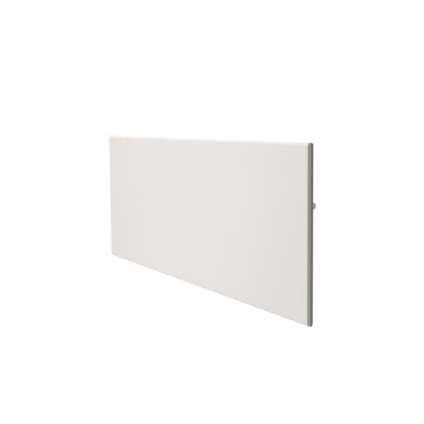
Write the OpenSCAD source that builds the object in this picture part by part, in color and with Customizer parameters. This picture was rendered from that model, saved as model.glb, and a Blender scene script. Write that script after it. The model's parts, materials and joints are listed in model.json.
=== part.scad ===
// Electric panel heater that hangs on a wall bracket.
// X runs along the heater to the right as seen from the room, Y runs into the wall and Z runs up.
// The origin lies on the wall, in the middle of the bracket's four screw slots.

/* [Slab] */
// Length over both end caps
panel_l = 1100; // [1000:10:1300]
// Height of the front
panel_h = 370; // [360:5:420]
// Depth of the front panel and of the end caps
front_d = 7; // [6.5:0.5:9]
// Depth of the rear cover behind the front panel
cover_d = 6; // [5:0.5:8]
// Steel of the front panel
front_sheet = 1.2; // [0.8:0.1:1.5]
// Steel of the rear cover
cover_sheet = 0.8; // [0.6:0.1:1.2]
// Flat part of a long edge between its rounding and the joint of panel and cover
edge_flat = 0.5; // [0.5:0.25:1.5]
// Width of the flanges folded inward at the back of the front panel
front_flange = 16; // [15:1:20]
// Thickness of an end cap
cap_t = 2; // [1.5:0.5:3]
// How far a cap's tongues reach into the front panel
tongue_l = 12; // [8:1:20]
// Height of a cap's tongue
tongue_w = 36; // [20:1:60]
// Distance from the middle tongue to the outer ones
tongue_pitch = 125; // [110:5:135]
// Clearance of parts that slip into each other
slip = 0.2; // [0.1:0.05:0.3]

/* [Slab fasteners and rails] */
// Screws along each long edge of the rear cover
well_count = 7; // [4:1:9]
// Distance of the outermost screws from the ends
well_end = 70; // [50:5:100]
// Distance of the screws from the long edges
well_edge = 11; // [11:0.5:12]
// Outer diameter of a pressed screw well
well_dia = 11; // [10.5:0.5:11.5]
// Thread of the sheet-metal screws
screw_dia = 3.5; // [3:0.1:3.9]
// Head of the sheet-metal screws
head_dia = 6.5; // [6:0.1:7]
// Height of a screw head
head_h = 2; // [1.5:0.1:2.5]
// Height above the middle at which each stiffening rail runs
rail_z = 92; // [60:2:100]
// Width of a rail's crown
rail_crown = 22; // [14:1:30]
// Width of a rail at its foot, without the flanges
rail_base = 32; // [31:1:40]
// Width of a rail's flange
rail_flange = 10; // [6:1:14]
// Steel of a rail
rail_sheet = 0.8; // [0.6:0.1:1.2]
// Distance of the rails' ends from the heater's ends
rail_end = 30; // [25:5:60]

/* [Casing] */
// Free depth between the wall and the casing
wall_gap = 27; // [27:0.5:32]
// Depth of the casing
casing_d = 44; // [42:1:55]
// Distance from the heater's long edges to the casing
casing_edge = 29; // [27:0.5:32]
// Steel of the casing
casing_sheet = 0.8; // [0.6:0.1:1]
// Rounding of the casing's rear edges
casing_r = 12; // [8:1:14]
// Flat strip of the rear wall's lip beyond the rounding
lip = 8; // [6:1:9]
// Width of the casing's outward flanges
casing_flange = 10; // [9:0.5:10]
// Steel of the end plates
end_sheet = 1; // [0.8:0.1:1.2]
// Distance from the left end of the heater to the casing
casing_left = 66; // [60:2:100]
// Clear distance between the casing and the control unit
unit_gap = 14; // [12:1:20]
// Screws along each louvred strip
flange_screws = 6; // [4:1:8]
// Distance from the casing's long edges to the screws in the end plates
end_screw_in = 46; // [40:2:60]

/* [Air louvres] */
// Louvre windows along a strip
bays = 15; // [10:1:18]
// Bar between two windows
bay_bar = 6; // [4:1:10]
// Solid length at each end of a strip
louvre_end = 14; // [10:1:30]
// Margin beside the windows, front and back
louvre_margin = 2.2; // [1.5:0.1:4]
// Blades in a window
blades = 3; // [2:1:3]
// Width of a blade
blade_w = 6.5; // [5:0.5:7]
// Thickness of a blade
blade_t = 0.8; // [0.6:0.1:1]
// Lean of a blade toward the room
blade_lean = 38; // [25:1:50]

/* [Heating element] */
// Distance of the element's middle from the casing's rear wall
element_back = 22; // [21:0.5:24]
// Height of the element's middle
element_z = -40; // [-60:1:-30]
// Diameter of the sheathed rod
rod_dia = 8.4; // [6.5:0.1:9]
// Hub of the finned section
hub_dia = 14; // [13:0.5:16]
// Reach of a fin from the middle
fin_reach = 30; // [24:1:32]
// Thickness of a fin
fin_t = 1.6; // [1.2:0.1:2]
// Angle between a fin and the vertical
fin_lean = 26; // [18:1:28]
// Distance between the cuts across the fins
fin_pitch = 26; // [20:1:40]
// Width of a cut across the fins
fin_cut = 3; // [2:0.5:5]
// Distance from the casing's left end to the fins
fins_left = 46; // [40:1:60]
// Distance from the fins to the casing's right end
fins_right = 74; // [70:1:90]
// Free length of the rod beyond the fins
rod_out = 26; // [24:1:30]
// Sheet of the element supports
support_sheet = 1; // [0.8:0.1:1.5]
// Barrel of the ceramic bushes
bush_dia = 13; // [12:0.5:14]
// Length of the ceramic bushes
bush_l = 9; // [7:1:12]
// Height of the heat shield over the rear cover
shield_h = 4; // [3:0.5:5]
// Width of the heat shield's raised part
shield_w = 150; // [120:5:160]

/* [Control unit] */
// Distance from the right end of the heater to the control unit
unit_right = 32; // [30:1:40]
// Length of the shallow part that carries the knob
nose_l = 38; // [36:1:42]
// Length of the deep part
deep_l = 78; // [76:1:90]
// Height of the control unit
unit_h = 160; // [155:1:180]
// Height of the control unit's lower edge
unit_z = -50; // [-60:1:-45]
// Depth of the shallow part, without the base
nose_d = 19; // [18.5:0.5:20]
// Depth of the deep part, without the base
deep_d = 38; // [36:1:40]
// Thickness of the base
base_t = 2; // [2:0.5:3]
// Wall of the housing
wall = 2; // [1.5:0.1:2.4]
// Rounding of the housing's edges
unit_r = 3; // [2.5:0.5:3]
// Height of the posts that carry the circuit board
board_post = 3; // [3:0.5:4]
// Thickness of the circuit board
board_t = 1.6; // [1.2:0.2:2]
// Outer diameter of the screw posts
post_dia = 9; // [8.6:0.2:9.4]
// Clear channel of the wire bushing
bushing_dia = 8; // [8:0.5:9]
// Height of the wire bushing
bushing_z = 0; // [-5:1:8]

/* [Knob] */
// Diameter of the knob
knob_dia = 15; // [14:0.5:16]
// Length of the knob
knob_l = 14.5; // [12:0.5:16]
// Distance of the knob's middle behind the slab
knob_back = 10.2; // [10:0.1:10.5]
// Height of the knob above the heater's middle
knob_z = 57.3; // [50:0.1:65]
// Gap between the knob and the housing
knob_gap = 1.5; // [1.3:0.1:2]
// How far the knob can be pressed
press_travel = 1; // [0.5:0.1:1.2]
// Diameter of the encoder's shaft
shaft_dia = 6; // [5:0.1:6]
// Running clearance of turning parts, per side
run_gap = 0.05; // [0.03:0.01:0.08]
// Grooves round the knob
flutes = 18; // [12:1:24]
// Edge of the encoder's square body
encoder_w = 12; // [11.5:0.5:12.5]
// Depth of the encoder's body
encoder_d = 10.5; // [10:0.5:12]

/* [Switch and lamp] */
// Height of the rocker switch
switch_z = -10; // [-14:1:-4]
// Width of the rocker
rocker_w = 10.6; // [9:0.1:10.8]
// Length of the rocker
rocker_l = 16; // [14:0.5:16]
// Tilt of the rocker to either side
rocker_tilt = 7; // [5:0.5:8]
// Depth of the switch behind the wall it sits in
switch_d = 13; // [12:0.5:15]
// Pivot pin of the rocker
pivot_dia = 2.4; // [2:0.1:2.6]
// Height of the lamp lens
lens_z = 86; // [80:1:92]
// Diameter of the lamp lens
lens_dia = 5; // [4:0.5:6]

/* [Cord gland] */
// Thread of the gland
gland_dia = 16; // [14:0.5:16]
// Width across the flats of the gland
gland_af = 20; // [19:0.5:21]
// Clear bore of the gland
gland_bore = 7; // [6:0.5:8]
// Distance of the gland's middle behind the slab
gland_back = 21; // [20:0.5:22]

/* [Wall bracket] */
// Distance between the two uprights
upright_span = 520; // [440:10:560]
// Length of an upright beyond each hook's seat
upright_end = 30; // [26:1:34]
// Width of an upright
upright_w = 40; // [34:1:46]
// Depth of an upright's flanges
upright_d = 24; // [20:0.5:24]
// Steel of the bracket
bracket_sheet = 2; // [1.5:0.1:2.5]
// Bend radius of the bracket steel
bend_r = 3; // [2.5:0.1:4]
// Distance from the casing's long edges to each hook's seat
hook_in = 46; // [44:1:52]
// Height of a hook's arm below its seat
arm_h = 12; // [10:0.5:14]
// Lift that frees the heater from its hooks
lift = 12; // [8:0.5:14]
// Thickness of a hook's nose
nose_t = 6; // [5:0.5:7]
// Play of the wall steel in a hook
hook_play = 0.3; // [0.2:0.05:0.5]
// Width of the slots that take the hooks
hook_slot_w = 5; // [4:0.5:7]
// Plates that strengthen the casing at the hooks
hook_plate = 1.5; // [1:0.1:2]
// Distance of the wall screws from the hooks' seats
screw_in = 30; // [26:1:38]
// Width of the wall screw slots
slot_w = 6; // [5:0.5:7]
// Length of the wall screw slots
slot_l = 14; // [10:1:20]
// Distance of the cross rails from the uprights' ends
cross_in = 28; // [26:1:32]
// Height of a cross rail
cross_h = 20; // [18:1:24]
// Shank of the rivets
rivet_dia = 4; // [3:0.1:4.8]

/* [Hidden] */
$fn = 40;
eps = 0.5;

// Planes across the depth, from the wall to the room
y_back = -wall_gap;
y_slab = y_back - casing_d;
y_split = y_slab - cover_d;
y_front = y_split - front_d;
cover_in = y_slab - cover_sheet;
front_in = y_front + front_sheet;
front_r = front_d - edge_flat;
cover_r = cover_d - edge_flat;

// Planes along the length
half_l = panel_l / 2;
unit_x2 = half_l - unit_right;
unit_x1 = unit_x2 - nose_l;
unit_x0 = unit_x1 - deep_l;
casing_x0 = -half_l + casing_left;
casing_x1 = unit_x0 - unit_gap;
casing_mid = (casing_x0 + casing_x1) / 2;
casing_h = panel_h - 2 * casing_edge;
casing_top = casing_h / 2;
y_lip = y_back - casing_r - lip;
back_in = y_back - casing_sheet;

// Fastener places
hole_dia = screw_dia + 2 * slip;
well_z = panel_h / 2 - well_edge;
well_xs = [for (i = [0:well_count - 1]) -half_l + well_end + i * (panel_l - 2 * well_end) / (well_count - 1)];
flange_z = casing_top + casing_flange / 2;
flange_xs = [for (i = [0:flange_screws - 1]) casing_x0 + 20
    + i * (casing_x1 - casing_x0 - 40) / (flange_screws - 1)];
end_flange = casing_flange;
tab_l = 14;
end_screw_z = casing_top - end_screw_in;
tab_h = 2 * end_screw_z + 30;
flange_places = concat([for (x = flange_xs, s = [-1, 1]) [x, s * flange_z]],
    [for (s = [-1, 1]) [casing_x0 - end_sheet - end_flange / 2, s * end_screw_z]],
    [for (s = [-1, 1]) [casing_x1 + end_sheet + end_flange / 2, s * end_screw_z]]);
tab_places = [for (x = [casing_x0 + tab_l / 2, casing_x1 - tab_l / 2], s = [-1, 1]) [x, s * end_screw_z]];
flange_head = y_slab + end_sheet;
screw_out = 2;

// Element
element_y = back_in - element_back;
fins_x0 = casing_x0 + fins_left;
fins_x1 = casing_x1 - fins_right;
rod_x0 = fins_x0 - rod_out;
rod_x1 = fins_x1 + rod_out;
support_gap = 10;
pin_l = 8;
pin_dia = 2.4;
pin_off = 2.2;

// Thermal cut-out, on the rear wall above the right end of the fins
cutout_x = fins_x1 - 20;
cutout_z = element_z + 62;
cutout_dia = 15.5;
cutout_h = 8;
tag_l = 7;
tag_x = 4;

// Control unit
unit_mid = (unit_x0 + unit_x1) / 2;
unit_top = unit_z + unit_h;
y_base = y_slab + base_t;
y_nose = y_base + nose_d;
y_deep = y_base + deep_d;
post_in = wall + post_dia / 2 + 0.5;
post_places = [for (x = [unit_x0 + post_in, unit_x1 - post_in], z = [unit_z + post_in, unit_top - post_in])
    [x, z]];
post_floor = 3;
sink_y = y_base + 12;
boss_y = y_base + 8;
y_board = y_base + board_post;
y_parts = y_board + board_t;
board_x0 = unit_x0 + 4.5;
board_x1 = unit_x1 - 4.5;
board_z0 = unit_z + 16;
board_z1 = unit_top - 16;
board_in = 4;
rim_h = 1.5;
rim_t = 1.4;
base_screw_z = rail_z - rail_base / 2 - 8;
base_places = [[unit_mid, unit_z + 8], [unit_mid, base_screw_z], [unit_x1 + nose_l / 2, unit_z + 18],
    [unit_x1 + nose_l / 2, base_screw_z]];
bushing_y = element_y;
bushing_out = bushing_dia + 3;
gland_y = y_slab + gland_back;
gland_x = unit_mid;

// Knob, shaft and encoder, along X
knob_y = y_slab + knob_back;
knob_x0 = unit_x2 + knob_gap;
knob_x1 = knob_x0 + knob_l;
encoder_x1 = unit_x2 - wall;
encoder_x0 = encoder_x1 - encoder_d;
collar_x = unit_x2 + 3;
collar_dia = shaft_dia + 1.2;
nut_h = 2;
recess_dia = 12;
recess_l = 4.5;
plunger_dia = shaft_dia - 1;
plunger_l = 3.4;
plunger_x1 = encoder_x0 + 5.2;
shaft_x1 = knob_x1 - 3;

// Rocker switch, along X
frame_t = 1.5;
frame_wall = 1;
rocker_side = 0.2;
switch_in_w = rocker_w + 2 * rocker_side;
switch_in_l = rocker_l + 1.8;
pivot_in = 2;
pivot_x = unit_x2 - pivot_in;

// Bracket
hook_z = casing_top - hook_in;
upright_h = 2 * (hook_z + upright_end);
screw_z = hook_z - screw_in;
cross_z = upright_h / 2 - cross_in;
hook_x = upright_span / 2 + upright_w / 2 - bracket_sheet / 2;
slot_h = arm_h + lift + 2;
notch_y0 = y_back + hook_play;
notch_y1 = back_in - hook_plate - hook_play;
nose_y = notch_y1 - nose_t;
hook_plate_w = 32;
hook_plate_edge = 6;
rivet_pitch = 20;

// Extrudes an outline given in Y and Z along X
module along_x(x0, x1) translate([x0, 0, 0]) rotate([90, 0, 90]) linear_extrude(x1 - x0) children();

// Extrudes an outline given in X and Z along Y
module along_y(y0, y1) translate([0, y1, 0]) rotate([90, 0, 0]) linear_extrude(y1 - y0) children();

// Extrudes an outline given in X and Y along Z
module along_z(z0, z1) translate([0, 0, z0]) linear_extrude(z1 - z0) children();

module rod_x(x0, x1, d) translate([x0, 0, 0]) rotate([0, 90, 0]) cylinder(d = d, h = x1 - x0);
module rod_y(y0, y1, d) translate([0, y0, 0]) rotate([-90, 0, 0]) cylinder(d = d, h = y1 - y0);
module rod_z(z0, z1, d) translate([0, 0, z0]) cylinder(d = d, h = z1 - z0);
module hex_x(x0, x1, af) translate([x0, 0, 0]) rotate([0, 90, 0])
    cylinder(d = af / cos(30), h = x1 - x0, $fn = 6);
module hex_z(z0, z1, af) translate([0, 0, z0]) cylinder(d = af / cos(30), h = z1 - z0, $fn = 6);
module at(x, y, z) translate([x, y, z]) children();
module at_xz(places) for (p = places) translate([p[0], 0, p[1]]) children();

// Outline of depth d and height h from x = 0, with the two corners at x = 0 rounded
module rounded_front(d, h, r) {
    translate([r, -h / 2]) square([d - r, h]);
    translate([0, -h / 2 + r]) square([d, h - 2 * r]);
    for (s = [-1, 1]) translate([r, s * (h / 2 - r)]) intersection() {
        circle(r);
        translate([-r, -r]) square([r, 2 * r]);
    }
}

// Outline with all four corners rounded, from its lower left corner
module rounded_plate(w, h, r) {
    translate([r, 0]) square([w - 2 * r, h]);
    translate([0, r]) square([w, h - 2 * r]);
    for (x = [r, w - r], y = [r, h - r]) translate([x, y]) circle(r);
}

module slot_outline(w, l) {
    square([l - w, w], center = true);
    for (s = [-1, 1]) translate([s * (l - w) / 2, 0]) circle(d = w);
}

// Hat-shaped sheet section: its feet at x = 0 and its crown at x = h
module hat_section(h, crown, base, flange, t) difference() {
    union() {
        polygon([[0, -base / 2], [h, -crown / 2], [h, crown / 2], [0, base / 2]]);
        translate([0, -base / 2 - flange]) square([t, base + 2 * flange]);
    }
    polygon([[-eps, -base / 2 + t], [h - t, -crown / 2 + t], [h - t, crown / 2 - t], [-eps, base / 2 - t]]);
}

// Pan-head screw whose head sits on y and whose shank runs toward the room
module screw_y(y, l) {
    rod_y(y, y + head_h, head_dia);
    rod_y(y - l, y, screw_dia);
}

// Smooth course through chosen points, n steps to each stretch
function course(p, n) = let (m = len(p) - 1) concat([for (i = [0:m - 1], k = [0:n - 1])
    let (t = k / n, a = p[max(i - 1, 0)], b = p[i], c = p[i + 1], d = p[min(i + 2, m)])
    0.5 * (2 * b + (c - a) * t + (2 * a - 5 * b + 4 * c - d) * t * t + (3 * b - a - 3 * c + d) * t * t * t)],
    [p[m]]);

// Round tube swept along a course that never runs parallel to Y
module sweep(p, d, sides = 8) {
    last = len(p) - 1;
    rings = [for (i = [0:last]) let (t = p[min(i + 1, last)] - p[max(i - 1, 0)], u = t / norm(t),
        v = cross(u, [0, 1, 0]), n = v / norm(v), b = cross(u, n))
        each [for (k = [0:sides - 1]) let (a = 360 * k / sides) p[i] + d / 2 * (cos(a) * n + sin(a) * b)]];
    sides_faces = [for (i = [0:last - 1], k = [0:sides - 1]) let (a = i * sides + k,
        b = i * sides + (k + 1) % sides) each [[a, b, b + sides], [a, b + sides, a + sides]]];
    ends = [[for (k = [sides - 1:-1:0]) k], [for (k = [0:sides - 1]) last * sides + k]];
    polyhedron(rings, concat(sides_faces, ends));
}

// Slab
module front_outline(inset) translate([y_front + inset, 0])
    rounded_front(front_d - inset, panel_h - 2 * inset, front_r - inset);

module cover_outline(inset) translate([y_slab - inset, 0]) mirror([1, 0])
    rounded_front(cover_d - inset, panel_h - 2 * inset, cover_r - inset);

module at_wells() at_xz([for (x = well_xs, s = [-1, 1]) [x, s * well_z]]) children();

module front_panel() color("#EAE6E2") difference() {
    along_x(-half_l + cap_t, half_l - cap_t) difference() {
        front_outline(0);
        difference() {
            front_outline(front_sheet);
            translate([y_split - front_sheet, -panel_h]) square([front_sheet + eps, 2 * panel_h]);
        }
        translate([y_split - 2 * front_sheet, -panel_h / 2 + front_sheet + front_flange])
            square([2 * front_sheet + eps, panel_h - 2 * (front_sheet + front_flange)]);
    }
    at_wells() rod_y(y_split - 2 * front_sheet, y_split + eps, hole_dia);
}

module rear_cover() color("#8B8985") difference() {
    union() {
        difference() {
            along_x(-half_l, half_l) cover_outline(0);
            along_x(-half_l + cover_sheet, half_l - cover_sheet) cover_outline(cover_sheet);
        }
        at_wells() rod_y(y_split, y_slab, well_dia);
    }
    at_wells() {
        rod_y(y_split + cover_sheet, y_slab + eps, well_dia - 2 * cover_sheet);
        rod_y(y_split - eps, y_slab, hole_dia);
    }
    at_xz(concat(flange_places, base_places)) rod_y(cover_in - eps, y_slab + eps, hole_dia);
}

module end_cap() {
    along_x(half_l - cap_t, half_l) front_outline(0);
    for (z = [-1, 0, 1] * tongue_pitch) at(half_l - cap_t - tongue_l, front_in + slip, z - tongue_w / 2)
        cube([tongue_l, front_d - 2 * front_sheet - 2 * slip, tongue_w]);
}

module end_cap_right() color("#C8C5BE") end_cap();
module end_cap_left() color("#C8C5BE") mirror([1, 0, 0]) end_cap();

module stiffener_rails() color("#B9BCBE") for (s = [-1, 1])
    along_x(-half_l + rail_end, half_l - rail_end) translate([front_in, s * rail_z])
        hat_section(cover_in - front_in, rail_crown, rail_base, rail_flange, rail_sheet);

module cover_screws() color("#C9CACB") at_wells() screw_y(y_split + cover_sheet,
    cover_sheet + front_sheet + screw_out);

// Casing
module casing_outline(inset) translate([y_back - inset, 0]) mirror([1, 0])
    rounded_front(casing_d - inset, casing_h - 2 * inset, casing_r - inset);

module hook_slots(y0, y1) for (x = [-hook_x, hook_x], z = [-hook_z, hook_z])
    at(x - hook_slot_w / 2, y0, z - slot_h) cube([hook_slot_w, y1 - y0, slot_h]);

module casing_back() color("#9D9B97") difference() {
    along_x(casing_x0, casing_x1) difference() {
        casing_outline(0);
        casing_outline(casing_sheet);
        translate([y_slab - eps, -casing_h]) square([y_lip - y_slab + eps, 2 * casing_h]);
    }
    hook_slots(back_in - eps, y_back + eps);
    at_xz(tab_places) rod_y(back_in - eps, y_back + eps, hole_dia);
    at_earth() rod_y(back_in - eps, y_back + eps, hole_dia);
}

// Louvred strip for the top: a flat run under the rear wall's lip and a flange on the rear cover
louvre_z = casing_top - 2 * casing_sheet;
louvre_y0 = y_slab + casing_sheet + louvre_margin;
louvre_y1 = y_lip - louvre_margin;
bay_pitch = (casing_x1 - casing_x0 - 2 * louvre_end + bay_bar) / bays;
blade_pitch = (louvre_y1 - louvre_y0) / blades;

module louvre() {
    difference() {
        union() {
            at(casing_x0, y_slab, louvre_z) cube([casing_x1 - casing_x0, y_lip + lip - 1 - y_slab, casing_sheet]);
            at(casing_x0, y_slab, louvre_z)
                cube([casing_x1 - casing_x0, casing_sheet, casing_flange + 2 * casing_sheet]);
        }
        for (i = [0:bays - 1]) at(casing_x0 + louvre_end + i * bay_pitch, louvre_y0, louvre_z - eps)
            cube([bay_pitch - bay_bar, louvre_y1 - louvre_y0, casing_sheet + 2 * eps]);
        at_xz([for (x = flange_xs) [x, flange_z]]) rod_y(y_slab - eps, y_slab + casing_sheet + eps, hole_dia);
    }
    for (i = [0:blades - 1]) at(casing_x0 + louvre_end - 2, louvre_y0 + (i + 0.5) * blade_pitch,
        louvre_z + casing_sheet) rotate([-blade_lean, 0, 0]) translate([0, -blade_t / 2, -blade_w])
            cube([casing_x1 - casing_x0 - 2 * louvre_end + 4, blade_t, blade_w]);
}

module outlet_louvre() color("#8F8D89") louvre();
module inlet_louvre() color("#8F8D89") mirror([0, 0, 1]) louvre();

// End plate, drawn for the right end at x = 0 and facing +X
module casing_end() {
    along_x(0, end_sheet) casing_outline(0);
    at(0, y_slab, -tab_h / 2) cube([end_sheet + end_flange, end_sheet, tab_h]);
    at(-tab_l, back_in - end_sheet, -tab_h / 2) cube([tab_l + eps, end_sheet, tab_h]);
}

module casing_end_left() color("#9D9B97") difference() {
    at(casing_x0, 0, 0) mirror([1, 0, 0]) casing_end();
    casing_end_holes();
}

module casing_end_right() color("#9D9B97") difference() {
    at(casing_x1, 0, 0) casing_end();
    casing_end_holes();
    at(0, bushing_y, bushing_z) rod_x(casing_x1 - eps, casing_x1 + end_sheet + eps, bushing_out + 2 * slip);
}

module casing_end_holes() {
    at_xz(flange_places) rod_y(y_slab - eps, y_slab + end_sheet + eps, hole_dia);
    at_xz(tab_places) rod_y(back_in - 2 * end_sheet, y_back, hole_dia);
}

module casing_screws() color("#C9CACB") {
    at_xz([for (x = flange_xs, s = [-1, 1]) [x, s * flange_z]])
        screw_y(y_slab + casing_sheet, casing_sheet + cover_sheet + screw_out);
    at_xz([for (p = flange_places) if (abs(p[1]) < casing_top) p])
        screw_y(y_slab + end_sheet, end_sheet + cover_sheet + screw_out);
    at_xz(tab_places) screw_y(y_back, casing_sheet + end_sheet + screw_out);
}

module hook_plates() color("#B9BCBE") difference() {
    for (x = [-hook_x, hook_x], z = [-hook_z, hook_z])
        at(x - hook_plate_w / 2, back_in - hook_plate, z - slot_h - hook_plate_edge)
            cube([hook_plate_w, hook_plate, slot_h + 2 * hook_plate_edge]);
    hook_slots(back_in - hook_plate - eps, back_in + eps);
}

// Heating element
module heat_shield() color("#D4D6D7") along_x(casing_x0 + 20, casing_x1 - 20) translate([y_slab, element_z])
    hat_section(shield_h, shield_w, shield_w + 6, 8, 0.6);

module element_rod() color("#6E6B67") {
    at(0, element_y, element_z) rod_x(rod_x0, rod_x1, rod_dia);
    for (s = [-1, 1]) at(0, element_y + s * pin_off, element_z) rod_x(rod_x1, rod_x1 + pin_l, pin_dia);
}

module element_fins() color("#C2C5C7") difference() {
    along_x(fins_x0, fins_x1) translate([element_y, element_z]) difference() {
        union() {
            circle(d = hub_dia);
            for (a = [-1, 1] * fin_lean, s = [0, 180]) rotate(90 + a + s) {
                translate([0, -fin_t / 2]) square([fin_reach, fin_t]);
                translate([fin_reach, 0]) circle(d = fin_t + 1);
            }
        }
        circle(d = rod_dia + 2 * run_gap);
    }
    for (x = [fins_x0 + fin_pitch:fin_pitch:fins_x1 - fin_pitch]) for (s = [-1, 1])
        at(x - fin_cut / 2, element_y - fin_reach, element_z + s * (hub_dia / 2 + fin_reach) - fin_reach + 3 * s)
            cube([fin_cut, 2 * fin_reach, 2 * fin_reach]);
}

// Element support: a foot on the rear wall and a plate across the rod; side is 1 at the right
module element_support(x, side) difference() {
    union() {
        along_x(x - support_sheet / 2, x + support_sheet / 2) translate([element_y - 13, element_z])
            rounded_front(back_in - element_y + 13, 44, 8);
        along_y(back_in - support_sheet, back_in)
            translate([side > 0 ? x - support_sheet / 2 : x + support_sheet / 2 - 14, element_z - 22])
                square([14, 44]);
    }
    at(0, element_y, element_z) rod_x(x - 2, x + 2, bush_dia + 2 * slip);
}

support_x0 = fins_x0 - support_gap;
support_x1 = fins_x1 + support_gap;
module element_support_left() color("#B9BCBE") element_support(support_x0, -1);
module element_support_right() color("#B9BCBE") element_support(support_x1, 1);

module ceramic_bushes() color("#EFEBE0") for (x = [support_x0, support_x1], m = [x == support_x0 ? 1 : 0])
    at(x, element_y, element_z) mirror([m, 0, 0]) difference() {
        union() {
            rod_x(-bush_l / 2, bush_l / 2, bush_dia);
            rod_x(support_sheet / 2, support_sheet / 2 + 2.5, bush_dia + 5);
        }
        rod_x(-bush_l, bush_l, rod_dia + 2 * run_gap);
    }

module cutout_bracket() color("#B9BCBE") {
    along_y(back_in - support_sheet, back_in) translate([cutout_x - 10, cutout_z - 14]) square([20, 14]);
    along_z(cutout_z - support_sheet, cutout_z) translate([cutout_x - 10, element_y - 10])
        rounded_plate(20, back_in - element_y + 10, 0.4);
}

module thermal_cutout() color("#3A3836") at(cutout_x, element_y, 0) {
    rod_z(cutout_z, cutout_z + cutout_h, cutout_dia);
    for (s = [-1, 1]) at(s * tag_x - 0.4, -3, cutout_z + cutout_h) cube([0.8, 6, tag_l]);
}

// Leads: each passes the bushing on its own third of the clear channel
lead_dia = 2.4;
lead_step = 4;
lead_bend = 14;
link_run = 22;
link_depth = 13;
lead_ring = 2;
lead_gap = 0.2;
bush_in = casing_x1 - 8;
bush_end = unit_x0 + wall + 4;
lead_at = [for (a = [90, 210, 330]) [bushing_y + lead_ring * cos(a), bushing_z + lead_ring * sin(a)]];
block_x0 = board_x0 + 16;
block_y = y_parts + 9;
block_z = bushing_z - 8;
block_gap = 0.5;
tag_z = cutout_z + cutout_h + tag_l + lead_gap;
pin_x = rod_x1 + pin_l + lead_gap;

module lead(p) sweep(course(p, 4), lead_dia);

// Part of lead k from inside the casing to height z at the terminal block
function through(k, z) = let (y = lead_at[k][0], w = lead_at[k][1]) [[bush_in, y, w], [bush_in + 8, y, w],
    [bush_end - 8, y, w], [bush_end, y, w], [bush_end + 5, (2 * y + block_y) / 3, (2 * w + z) / 3],
    [block_x0 - 4, block_y, z], [block_x0 - block_gap, block_y, z]];

module lead_live() color("#7A4A2C") lead(concat([[cutout_x + tag_x, element_y, tag_z],
    [cutout_x + tag_x, element_y, tag_z + lead_step], [cutout_x + lead_bend, element_y, tag_z + 2 * lead_step],
    [bush_in - 2 * lead_bend - 2, element_y + 1, tag_z - 3 * lead_step],
    [bush_in - lead_bend, element_y, bushing_z + lead_bend - 3],
    [bush_in - 1.5 * lead_step, lead_at[0][0], bushing_z + lead_step]], through(0, block_z + 1.5 * lead_step)));
module lead_link() color("#7A4A2C") lead([[cutout_x - tag_x, element_y, tag_z],
    [cutout_x - tag_x, element_y, tag_z + lead_step],
    [cutout_x - 2 * lead_step, element_y + 2 * lead_step, tag_z + 3],
    [cutout_x, element_y + link_depth, tag_z - 10], [cutout_x + link_run, element_y + link_depth, cutout_z - lead_step],
    [pin_x + 2 * lead_step + 1, element_y + 9, element_z + 4 * lead_step],
    [pin_x + 2 * lead_step, element_y + pin_off, element_z + 2], [pin_x + lead_step, element_y + pin_off, element_z],
    [pin_x, element_y + pin_off, element_z]]);
module lead_neutral() color("#3D5F8C") lead(concat([[pin_x, element_y - pin_off, element_z],
    [pin_x + lead_step, element_y - pin_off, element_z],
    [pin_x + lead_bend, element_y - lead_step, element_z + lead_step],
    [bush_in - lead_bend, element_y - 3, bushing_z - lead_bend],
    [bush_in - 1.5 * lead_step, lead_at[1][0], bushing_z - lead_step]], through(1, block_z)));
module lead_earth() color("#6F8A3A") lead(concat([[earth_x + 1.5 * lead_step, earth_y, earth_z],
    [earth_x + 2.5 * lead_step, earth_y, earth_z - 1],
    [bush_in - 3 * lead_step, (earth_y + lead_at[2][0]) / 2, bushing_z + 3 * lead_step]],
    through(2, block_z - 1.5 * lead_step)));

earth_x = casing_x1 - 34;
earth_z = 30;
earth_y = back_in - 3.2;
module at_earth() at(earth_x, 0, earth_z) children();
module earth_screw() color("#C9A24B") at_earth() {
    rod_y(back_in - 2, back_in, head_dia + 2);
    rod_y(back_in - 5, back_in - 2, head_dia);
    rod_y(back_in, y_back + 2, screw_dia);
}

module wire_bushing() color("#2B2A29") at(0, bushing_y, bushing_z) difference() {
    union() {
        rod_x(casing_x1 - 4, unit_x0 + wall + 3, bushing_out);
        rod_x(casing_x1 - 2.5, casing_x1 - 0.1, bushing_out + 4);
        rod_x(casing_x1 + end_sheet + 0.1, casing_x1 + end_sheet + 2.5, bushing_out + 4);
    }
    rod_x(casing_x1 - 5, unit_x0 + wall + 4, bushing_dia);
}

// Control unit
// Block with rounded rear corners in plan and in side view, shrunk by inset
module unit_block(x0, x1, y1, inset) {
    r = unit_r - inset;
    intersection() {
        along_z(unit_z + inset, unit_top - inset) translate([x0 + inset, y_base - (inset > 0 ? eps : 0)])
            rear_rounded(x1 - x0 - 2 * inset, y1 - y_base - inset + (inset > 0 ? eps : 0), r);
        along_x(x0 + inset, x1 - inset) translate([y1 - inset, (unit_z + unit_top) / 2]) mirror([1, 0])
            rounded_front(y1 - y_base - inset + (inset > 0 ? eps : 0), unit_h - 2 * inset, r);
    }
}

// Outline w wide and d deep from the origin, its two far corners rounded
module rear_rounded(w, d, r) {
    square([w, d - r]);
    translate([r, 0]) square([w - 2 * r, d]);
    for (x = [r, w - r]) translate([x, d - r]) circle(r);
}

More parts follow.
